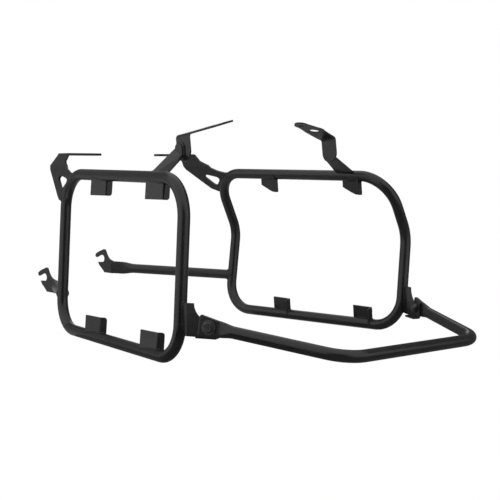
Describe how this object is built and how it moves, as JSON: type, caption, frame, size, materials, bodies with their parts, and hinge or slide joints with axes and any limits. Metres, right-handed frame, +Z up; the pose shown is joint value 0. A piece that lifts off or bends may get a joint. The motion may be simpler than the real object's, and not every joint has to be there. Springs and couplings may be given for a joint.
{
  "type": "pannier frame",
  "caption": "Pair of tubular side case carriers for a motorcycle, with welded tabs, fixing brackets, forward hooks and a bolted U-shaped rear brace.",
  "frame": {"origin": "midway between the two upper front fixing holes, in the mid-plane of their tongues", "axes": "+X to the motorcycle's rear, +Y to its right, +Z up"},
  "size_m": [0.9105, 0.505, 0.3493],
  "materials": {
    "frame": "satin black powder coat",
    "fasteners": "black zinc"
  },
  "bodies": {
    "root": {"loop_left": "frame", "loop_right": "frame", "tab_left_top_front": "frame", "tab_left_top_rear": "frame", "tab_left_low_front": "frame", "tab_left_low_rear": "frame", "tab_right_top_front": "frame", "tab_right_top_rear": "frame", "tab_right_low_front": "frame", "tab_right_low_rear": "frame", "front_bracket_left": "frame", "front_bracket_right": "frame", "strap_left": "frame", "strap_right": "frame", "strut_left": "frame", "strut_right": "frame", "gusset_left": "frame", "gusset_right": "frame", "brace": "frame", "bolt_left": "fasteners", "bolt_right": "fasteners", "washer_left": "fasteners", "washer_right": "fasteners", "nut_left": "fasteners", "nut_right": "fasteners", "stay_left": "frame", "stay_right": "frame", "hook_left": "frame", "hook_right": "frame"}
  },
  "joints": []
}
